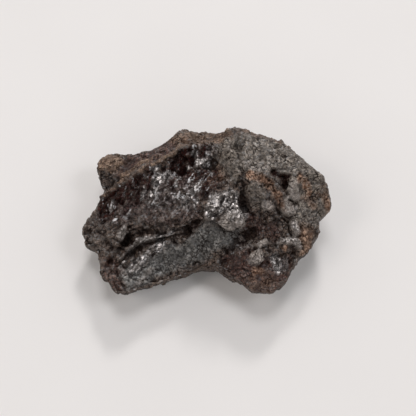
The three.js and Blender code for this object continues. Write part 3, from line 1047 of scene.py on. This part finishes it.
@dataclass
class Stone:
    """The meteorite itself: the CAD stone, remeshed finely and broken up like the real surface."""

    name: str = "meteorite_stone"
    voxel: float = 0.32
    seed: int = 11
    weld_reach: float = 0.01
    smooth_factor: float = 0.5
    smooth_passes: int = 4
    flat_fade: float = 1.4
    hollow_passes: int = 24
    # Painted shade: crevices darken in colour and stop mirroring, up to this strength, over these depths
    # below the smoothed surface.
    cavity_strength: float = 0.75
    cavity_depths: tuple[float, float] = (0.08, 0.6)
    edge_heights: tuple[float, float] = (0.04, 0.3)
    grain: SurfaceGrain = field(default_factory=SurfaceGrain)
    quiet: Quiet = field(default_factory=Quiet)
    finish: StoneFinish = field(default_factory=StoneFinish)

    def build(self, source: bpy.types.Object) -> bpy.types.Object:
        """Makes the stone's mesh from the CAD node.

        Args:
            source: the CAD node, which is only read.

        Returns:
            The finished, undressed object.
        """
        noise.seed_set(self.seed)
        mesh = source.data.copy()
        mesh.materials.clear()
        stone = bpy.data.objects.new(self.name, mesh)
        bpy.context.scene.collection.objects.link(stone)
        self._weld(mesh)
        self._refine(stone)
        self._sculpt(stone.data)
        for polygon in stone.data.polygons:
            polygon.use_smooth = True
        return stone

    def _weld(self, mesh: bpy.types.Mesh) -> None:
        """Joins the loose triangles into one skin whose faces point outwards.

        Args:
            mesh: the copied CAD mesh.
        """
        bm = bmesh.new()
        bm.from_mesh(mesh)
        bmesh.ops.remove_doubles(bm, verts=bm.verts, dist=self.weld_reach * MM)
        bmesh.ops.recalc_face_normals(bm, faces=bm.faces)
        bm.to_mesh(mesh)
        bm.free()

    def _refine(self, stone: bpy.types.Object) -> None:
        """Remeshes the skin into small even faces and smooths away the CAD facets.

        Args:
            stone: the object whose mesh is replaced.
        """
        remesh = stone.modifiers.new("even faces", "REMESH")
        remesh.mode = "VOXEL"
        remesh.voxel_size = self.voxel * MM
        smooth = stone.modifiers.new("facets off", "SMOOTH")
        smooth.factor = self.smooth_factor
        smooth.iterations = self.smooth_passes
        evaluated = stone.evaluated_get(bpy.context.evaluated_depsgraph_get())
        stone.data = bpy.data.meshes.new_from_object(evaluated)
        stone.modifiers.clear()

    def _sculpt(self, mesh: bpy.types.Mesh) -> None:
        """Breaks up the surface and records its zones, where crevices get painted shade, and where edges are
        drawn lighter.

        Args:
            mesh: the refined mesh.
        """
        count = len(mesh.vertices)
        points = vertex_vectors(mesh, "co") / MM
        normals = vertex_vectors(mesh, "normal")
        layers = self.grain.heights(points)
        wobble = layers["wobble"]
        above = smooth_step(-0.2, 0.3, normals[:, 2])
        zones = {zone: np.zeros(count) for zone in Zone}
        for zone, patches in PATCHES.items():
            for patch in patches:
                zones[zone] = np.maximum(zones[zone], patch.cover(points, wobble) * above)

        lift = self.quiet.blend(layers, zones, normals[:, 2])
        for worked in STROKES + LEDGES:
            lift += worked.lift(points, wobble) * above
        resting = smooth_step(0.0, self.flat_fade, points[:, 2])
        moved = points + normals * (lift * resting)[:, None]
        moved[:, 2] = np.maximum(moved[:, 2], 0.0)

        mesh.vertices.foreach_set("co", (moved * MM).ravel())
        mesh.update()
        hollow = self._hollowness(mesh, moved)
        # Painted shade: the deeper a point lies below its smoothed surroundings, the darker its colour is
        # painted; points above them are stored to be drawn lighter.
        self._store(mesh, "cavity", self.cavity_strength * smooth_step(*self.cavity_depths, hollow))
        self._store(mesh, "edge", smooth_step(*self.edge_heights, -hollow))
        for zone, cover in zones.items():
            self._store(mesh, zone.value, cover)

    def _hollowness(self, mesh: bpy.types.Mesh, points: np.ndarray) -> np.ndarray:
        """How far each point lies below its smoothed surroundings.

        Args:
            mesh: the sculpted mesh.
            points: its vertices in millimetres.

        Returns:
            Millimetres below the smoothed surface, negative on an edge or a bump.
        """
        edges = np.empty(len(mesh.edges) * 2, int)
        mesh.edges.foreach_get("vertices", edges)
        edges = edges.reshape(-1, 2)
        links = np.bincount(edges.ravel(), minlength=len(points))[:, None]
        smoothed = points.copy()
        for _ in range(self.hollow_passes):
            total = np.zeros_like(smoothed)
            for axis in range(3):
                total[:, axis] += np.bincount(edges[:, 0], smoothed[edges[:, 1], axis], len(points))
                total[:, axis] += np.bincount(edges[:, 1], smoothed[edges[:, 0], axis], len(points))
            smoothed = total / links
        return ((smoothed - points) * vertex_vectors(mesh, "normal")).sum(axis=1)

    def _store(self, mesh: bpy.types.Mesh, name: str, values: np.ndarray) -> None:
        """Stores one number per vertex as an attribute.

        Args:
            mesh: the mesh to store it on.
            name: the attribute's name.
            values: one value per vertex.
        """
        attribute = mesh.attributes.new(name, "FLOAT", "POINT")
        attribute.data.foreach_set("value", values.astype(np.float32))

    def dress(self, stone: bpy.types.Object) -> None:
        """Gives the stone its material and its place in the frame.

        Args:
            stone: the built object.
        """
        stone.data.materials.append(self.finish.make())
        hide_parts(NODE)
        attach(stone, BODY)


# ---------------------------------------------------------------- the table, light and camera


@dataclass
class Table:
    """The pale table top that the stone lies on."""

    side: float = 8.0
    finish: TableFinish = field(default_factory=TableFinish)

    def build(self) -> bpy.types.Object:
        """Makes the table top.

        Returns:
            The table's object.
        """
        mesh = bpy.data.meshes.new("table_top")
        bm = bmesh.new()
        bmesh.ops.create_grid(bm, x_segments=2, y_segments=2, size=self.side / 2)
        bm.to_mesh(mesh)
        bm.free()
        table = bpy.data.objects.new("table_top", mesh)
        bpy.context.scene.collection.objects.link(table)
        return table

    def dress(self, table: bpy.types.Object) -> None:
        """Gives the table its material."""
        table.data.materials.append(self.finish.make())


@dataclass(frozen=True)
class Softbox:
    """A square area light that faces the stone."""

    name: str
    azimuth: float
    elevation: float
    distance: float
    side: float
    power: float
    colour: str

    def build(self) -> bpy.types.Object:
        """Makes the light.

        Returns:
            The light's object.
        """
        light = bpy.data.lights.new(self.name, "AREA")
        light.shape = "SQUARE"
        light.size = self.side
        light.energy = self.power
        light.color = linear(self.colour)[:3]
        lamp = bpy.data.objects.new(self.name, light)
        bpy.context.scene.collection.objects.link(lamp)
        turn, rise = math.radians(self.azimuth), math.radians(self.elevation)
        away = Vector((math.cos(turn) * math.cos(rise), math.sin(turn) * math.cos(rise), math.sin(rise)))
        lamp.location = away * self.distance
        lamp.rotation_mode = "QUATERNION"
        lamp.rotation_quaternion = away.to_track_quat("Z", "Y")
        return lamp


@dataclass
class Studio:
    """Plain, soft light: a small panel behind the stone, a big one overhead and a weak one at each side."""

    boxes: tuple[Softbox, ...] = (
        Softbox("back_panel", 80.0, 33.0, 2.5, 0.36, 22.0, "FFFDFC"),
        Softbox("overhead_panel", 92.0, 66.0, 2.5, 0.8, 17.0, "FDFDFF"),
        Softbox("left_panel", 185.0, 50.0, 2.5, 0.8, 8.0, "FFF6F0"),
        Softbox("right_panel", 0.0, 50.0, 2.5, 0.8, 9.5, "F8FAFF"),
    )
    glow: str = "FFFEFD"
    horizon_strength: float = 0.88
    zenith_strength: float = 0.03
    fade_start: float = 0.45
    fade_end: float = 0.85

    def build(self) -> None:
        """Makes the lights and the surrounding glow, and shows colours as they are."""
        for box in self.boxes:
            box.build()
        world = bpy.data.worlds.new("studio")
        add = partial(add_node, empty_tree(world))
        ray = add("TexCoord").outputs["Generated"]
        height = add("SeparateXYZ", None, {"Vector": ray}).outputs["Z"]
        strength = add(
            "MapRange",
            SMOOTH_RISE,
            {
                "Value": height,
                "From Min": self.fade_start,
                "From Max": self.fade_end,
                "To Min": self.horizon_strength,
                "To Max": self.zenith_strength,
            },
        )
        background = add(
            "Background", None, {"Color": linear(self.glow), "Strength": strength.outputs["Result"]}
        )
        add("OutputWorld", None, {"Surface": background.outputs["Background"]})
        bpy.context.scene.world = world
        bpy.context.scene.view_settings.view_transform = "Standard"


@dataclass
class Viewpoint:
    """The camera: above the show side, looking down on the stone."""

    elevation: float = 68.0
    distance: float = 0.240
    target: tuple[float, float, float] = (0.0, 0.0, 0.011)
    view_width: float = 0.11648
    sensor: float = 36.0
    shift: tuple[float, float] = (0.0036, 0.0012)
    nearest: float = 0.01
    farthest: float = 10.0

    def build(self) -> None:
        """Makes the camera and makes it the scene's own."""
        camera = bpy.data.cameras.new("camera")
        camera.sensor_width = self.sensor
        camera.lens = self.sensor * self.distance / self.view_width
        camera.shift_x, camera.shift_y = self.shift
        camera.clip_start = self.nearest
        camera.clip_end = self.farthest
        holder = bpy.data.objects.new("camera", camera)
        bpy.context.scene.collection.objects.link(holder)
        rise = math.radians(self.elevation)
        back = Vector((0.0, -math.cos(rise), math.sin(rise)))
        holder.location = Vector(self.target) + back * self.distance
        holder.rotation_mode = "QUATERNION"
        holder.rotation_quaternion = back.to_track_quat("Z", "Y")
        bpy.context.scene.camera = holder


def main() -> None:
    """Builds the stone, the table, the light and the camera."""
    logging.basicConfig(level=logging.INFO, format="%(name)s: %(message)s")
    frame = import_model()
    stone_maker = Stone()
    stone = stone_maker.build(frame["nodes"][NODE])
    stone_maker.dress(stone)
    log.info("stone: %d faces", len(stone.data.polygons))
    table_maker = Table()
    table = table_maker.build()
    table_maker.dress(table)
    log.info("table: %.1f m square", table_maker.side)
    Studio().build()
    Viewpoint().build()
    log.info("lights and camera in place")


if __name__ == "__main__":
    main()
